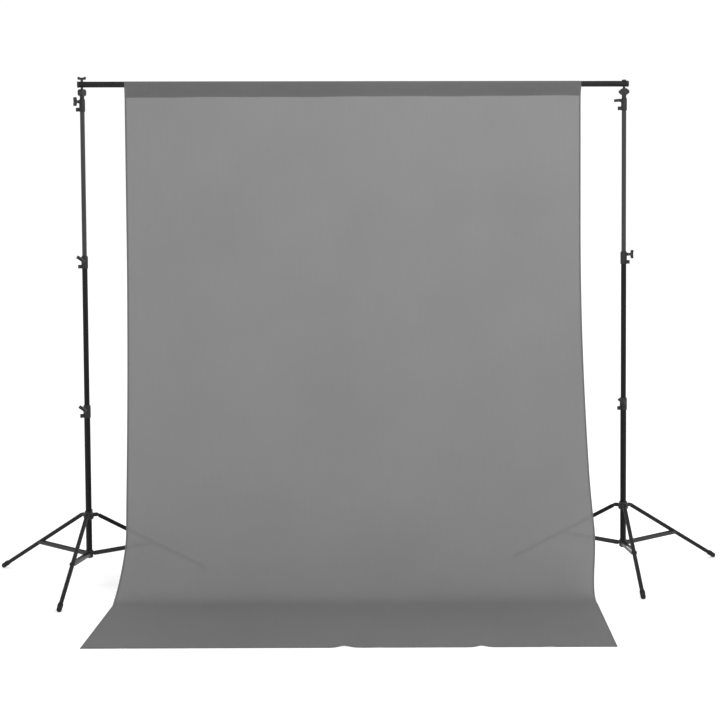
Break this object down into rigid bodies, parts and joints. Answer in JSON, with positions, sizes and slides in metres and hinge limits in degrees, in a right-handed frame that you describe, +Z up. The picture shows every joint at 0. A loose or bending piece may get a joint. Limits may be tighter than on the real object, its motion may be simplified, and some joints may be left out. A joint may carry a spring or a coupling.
{
  "type": "background support system",
  "caption": "Two folding tripod stands with telescopic columns hold a crossbar, from which a plain grey cloth backdrop hangs and sweeps forward over the floor.",
  "frame": {"origin": "centre of the bounding box at floor level", "axes": "+Z up from the floor, +X along the crossbar towards the right-hand stand as seen from the front, -Y towards the side the cloth sweeps to"},
  "size_m": [4.0982, 1.9624, 2.7438],
  "materials": {
    "stand_tube": "black anodised, satin",
    "crossbar_tube": "black anodised, satin",
    "brace_strap": "dark anodised flat strip",
    "collar_plastic": "moulded, fine texture",
    "knob_plastic": "moulded, fine texture",
    "nut_black": "moulded",
    "pin_steel": "plain",
    "foot_rubber": "matt",
    "backdrop_cloth": "plain woven muslin, matt"
  },
  "bodies": {
    "root": {"left_base_tube": "stand_tube", "left_base_collar": "collar_plastic", "right_base_tube": "stand_tube", "right_base_collar": "collar_plastic", "base_collar_pins": "pin_steel", "left_lower_lock_collar": "collar_plastic", "right_lower_lock_collar": "collar_plastic", "backdrop_lower": "backdrop_cloth"},
    "left_hub": {"left_hub": "collar_plastic", "left_hub_pins": "pin_steel"},
    "left_hub_knob": {"left_hub_knob": "knob_plastic"},
    "left_leg_front": {"left_leg_front": "stand_tube", "left_foot_front": "foot_rubber"},
    "left_brace_front": {"left_brace_front": "brace_strap"},
    "left_leg_outer": {"left_leg_outer": "stand_tube", "left_foot_outer": "foot_rubber"},
    "left_brace_outer": {"left_brace_outer": "brace_strap"},
    "left_leg_inner": {"left_leg_inner": "stand_tube", "left_foot_inner": "foot_rubber"},
    "left_brace_inner": {"left_brace_inner": "brace_strap"},
    "left_riser_1": {"left_riser_1": "stand_tube", "left_middle_lock_collar": "collar_plastic", "backdrop_middle": "backdrop_cloth"},
    "left_riser_2": {"left_riser_2": "stand_tube", "left_upper_lock_collar": "collar_plastic"},
    "left_riser_3": {"left_riser_3": "stand_tube", "left_head": "collar_plastic", "left_stud": "pin_steel", "crossbar_tube_left": "crossbar_tube", "crossbar_tube_middle": "crossbar_tube", "crossbar_tube_right": "crossbar_tube", "crossbar_end_caps": "collar_plastic", "backdrop_upper": "backdrop_cloth"},
    "left_lower_knob": {"left_lower_knob": "knob_plastic"},
    "left_middle_knob": {"left_middle_knob": "knob_plastic"},
    "left_upper_knob": {"left_upper_knob": "knob_plastic"},
    "left_wing_nut": {"left_wing_nut": "nut_black"},
    "right_hub": {"right_hub": "collar_plastic", "right_hub_pins": "pin_steel"},
    "right_hub_knob": {"right_hub_knob": "knob_plastic"},
    "right_leg_front": {"right_leg_front": "stand_tube", "right_foot_front": "foot_rubber"},
    "right_brace_front": {"right_brace_front": "brace_strap"},
    "right_leg_outer": {"right_leg_outer": "stand_tube", "right_foot_outer": "foot_rubber"},
    "right_brace_outer": {"right_brace_outer": "brace_strap"},
    "right_leg_inner": {"right_leg_inner": "stand_tube", "right_foot_inner": "foot_rubber"},
    "right_brace_inner": {"right_brace_inner": "brace_strap"},
    "right_riser_1": {"right_riser_1": "stand_tube", "right_middle_lock_collar": "collar_plastic"},
    "right_riser_2": {"right_riser_2": "stand_tube", "right_upper_lock_collar": "collar_plastic"},
    "right_riser_3": {"right_riser_3": "stand_tube", "right_head": "collar_plastic", "right_stud": "pin_steel"},
    "right_lower_knob": {"right_lower_knob": "knob_plastic"},
    "right_middle_knob": {"right_middle_knob": "knob_plastic"},
    "right_upper_knob": {"right_upper_knob": "knob_plastic"},
    "right_thumb_nut": {"right_thumb_nut": "nut_black"}
  },
  "joints": [
    {"name": "left_leg_fold", "type": "slide", "parent": "root", "child": "left_hub", "axis": [0, 0, 1], "range_m": [0, 0.5098]},
    {"name": "left_hub_knob_turn", "type": "hinge", "parent": "left_hub", "child": "left_hub_knob", "pos_m": [-1.5104, 0.56475, 0.368], "axis": [0.1305, 0.9914, 0], "range_deg": [0, 360]},
    {"name": "left_leg_front_swing", "type": "hinge", "parent": "left_hub", "child": "left_leg_front", "pos_m": [-1.51666, 0.51716, 0.368], "axis": [0.9914, -0.1305, 0], "range_deg": [0, 59.99]},
    {"name": "left_brace_front_swing", "type": "hinge", "parent": "root", "child": "left_brace_front", "pos_m": [-1.51405, 0.53699, 0.1565], "axis": [0.9914, -0.1305, 0], "range_deg": [-82.9, 0]},
    {"name": "left_leg_outer_swing", "type": "hinge", "parent": "left_hub", "child": "left_leg_outer", "pos_m": [-1.54848, 0.59397, 0.368], "axis": [-0.6088, -0.7934, 0], "range_deg": [0, 59.99]},
    {"name": "left_brace_outer_swing", "type": "hinge", "parent": "root", "child": "left_brace_outer", "pos_m": [-1.53261, 0.58179, 0.1565], "axis": [-0.6088, -0.7934, 0], "range_deg": [-82.9, 0]},
    {"name": "left_leg_inner_swing", "type": "hinge", "parent": "left_hub", "child": "left_leg_inner", "pos_m": [-1.46605, 0.58312, 0.368], "axis": [-0.3827, 0.9239, 0], "range_deg": [0, 59.99]},
    {"name": "left_brace_inner_swing", "type": "hinge", "parent": "root", "child": "left_brace_inner", "pos_m": [-1.48453, 0.57547, 0.1565], "axis": [-0.3827, 0.9239, 0], "range_deg": [-82.9, 0]},
    {"name": "left_riser_1_slide", "type": "slide", "parent": "root", "child": "left_riser_1", "axis": [0, 0, 1], "range_m": [-0.74, 0], "deforming": ["backdrop_lower"]},
    {"name": "left_riser_2_slide", "type": "slide", "parent": "left_riser_1", "child": "left_riser_2", "axis": [0, 0, 1], "range_m": [-0.76, 0], "deforming": ["backdrop_middle"]},
    {"name": "left_riser_3_slide", "type": "slide", "parent": "left_riser_2", "child": "left_riser_3", "axis": [0, 0, 1], "range_m": [0, 0.61], "deforming": ["backdrop_upper"]},
    {"name": "left_lower_knob_turn", "type": "hinge", "parent": "root", "child": "left_lower_knob", "pos_m": [-1.5104, 0.56475, 0.955], "axis": [-0.3746, -0.9272, 0], "range_deg": [0, 360]},
    {"name": "left_middle_knob_turn", "type": "hinge", "parent": "left_riser_1", "child": "left_middle_knob", "pos_m": [-1.5104, 0.56475, 1.765], "axis": [-0.3746, -0.9272, 0], "range_deg": [0, 360]},
    {"name": "left_upper_knob_turn", "type": "hinge", "parent": "left_riser_2", "child": "left_upper_knob", "pos_m": [-1.5104, 0.56475, 2.609], "axis": [-0.7771, -0.6293, 0], "range_deg": [0, 360]},
    {"name": "left_wing_nut_turn", "type": "hinge", "parent": "left_riser_3", "child": "left_wing_nut", "pos_m": [-1.5104, 0.56475, 2.7178], "axis": [0, 0, 1], "range_deg": [0, 360]},
    {"name": "right_leg_fold", "type": "slide", "parent": "root", "child": "right_hub", "axis": [0, 0, 1], "range_m": [0, 0.5098]},
    {"name": "right_hub_knob_turn", "type": "hinge", "parent": "right_hub", "child": "right_hub_knob", "pos_m": [1.4406, 0.56475, 0.368], "axis": [0.0698, 0.9976, 0], "range_deg": [0, 360]},
    {"name": "right_leg_front_swing", "type": "hinge", "parent": "right_hub", "child": "right_leg_front", "pos_m": [1.43725, 0.51687, 0.368], "axis": [0.9976, -0.0698, 0], "range_deg": [0, 59.99]},
    {"name": "right_brace_front_swing", "type": "hinge", "parent": "root", "child": "right_brace_front", "pos_m": [1.43865, 0.53682, 0.1565], "axis": [0.9976, -0.0698, 0], "range_deg": [-82.9, 0]},
    {"name": "right_leg_outer_swing", "type": "hinge", "parent": "right_hub", "child": "right_leg_outer", "pos_m": [1.48374, 0.58579, 0.368], "axis": [-0.4384, 0.8988, 0], "range_deg": [0, 59.99]},
    {"name": "right_brace_outer_swing", "type": "hinge", "parent": "root", "child": "right_brace_outer", "pos_m": [1.46577, 0.57702, 0.1565], "axis": [-0.4384, 0.8988, 0], "range_deg": [-82.9, 0]},
    {"name": "right_leg_inner_swing", "type": "hinge", "parent": "right_hub", "child": "right_leg_inner", "pos_m": [1.40081, 0.59159, 0.368], "axis": [-0.5592, -0.829, 0], "range_deg": [0, 59.99]},
    {"name": "right_brace_inner_swing", "type": "hinge", "parent": "root", "child": "right_brace_inner", "pos_m": [1.41739, 0.58041, 0.1565], "axis": [-0.5592, -0.829, 0], "range_deg": [-82.9, 0]},
    {"name": "right_riser_1_slide", "type": "slide", "parent": "root", "child": "right_riser_1", "axis": [0, 0, 1], "range_m": [-0.741, 0]},
    {"name": "right_riser_2_slide", "type": "slide", "parent": "right_riser_1", "child": "right_riser_2", "axis": [0, 0, 1], "range_m": [-0.761, 0]},
    {"name": "right_riser_3_slide", "type": "slide", "parent": "right_riser_2", "child": "right_riser_3", "axis": [0, 0, 1], "range_m": [0, 0.611]},
    {"name": "right_lower_knob_turn", "type": "hinge", "parent": "root", "child": "right_lower_knob", "pos_m": [1.4406, 0.56475, 0.955], "axis": [-0.3746, -0.9272, 0], "range_deg": [0, 360]},
    {"name": "right_middle_knob_turn", "type": "hinge", "parent": "right_riser_1", "child": "right_middle_knob", "pos_m": [1.4406, 0.56475, 1.765], "axis": [1, 0, 0], "range_deg": [0, 360]},
    {"name": "right_upper_knob_turn", "type": "hinge", "parent": "right_riser_2", "child": "right_upper_knob", "pos_m": [1.4406, 0.56475, 2.609], "axis": [-0.9135, -0.4067, 0], "range_deg": [0, 360]},
    {"name": "right_thumb_nut_turn", "type": "hinge", "parent": "right_riser_3", "child": "right_thumb_nut", "pos_m": [1.4406, 0.56475, 2.7178], "axis": [0, 0, 1], "range_deg": [0, 360]}
  ],
  "couplings": [
    {"joint": "left_leg_front_swing", "follows": "left_leg_fold", "rad_per_m": 2.0522},
    {"joint": "left_brace_front_swing", "follows": "left_leg_fold", "rad_per_m": -2.8363},
    {"joint": "left_leg_outer_swing", "follows": "left_leg_fold", "rad_per_m": 2.0522},
    {"joint": "left_brace_outer_swing", "follows": "left_leg_fold", "rad_per_m": -2.8363},
    {"joint": "left_leg_inner_swing", "follows": "left_leg_fold", "rad_per_m": 2.0522},
    {"joint": "left_brace_inner_swing", "follows": "left_leg_fold", "rad_per_m": -2.8363},
    {"joint": "right_leg_front_swing", "follows": "right_leg_fold", "rad_per_m": 2.0522},
    {"joint": "right_brace_front_swing", "follows": "right_leg_fold", "rad_per_m": -2.8363},
    {"joint": "right_leg_outer_swing", "follows": "right_leg_fold", "rad_per_m": 2.0522},
    {"joint": "right_brace_outer_swing", "follows": "right_leg_fold", "rad_per_m": -2.8363},
    {"joint": "right_leg_inner_swing", "follows": "right_leg_fold", "rad_per_m": 2.0522},
    {"joint": "right_brace_inner_swing", "follows": "right_leg_fold", "rad_per_m": -2.8363},
    {"joint": "right_riser_1_slide", "follows": "left_riser_1_slide", "ratio": 1},
    {"joint": "right_riser_2_slide", "follows": "left_riser_2_slide", "ratio": 1},
    {"joint": "right_riser_3_slide", "follows": "left_riser_3_slide", "ratio": 1}
  ]
}
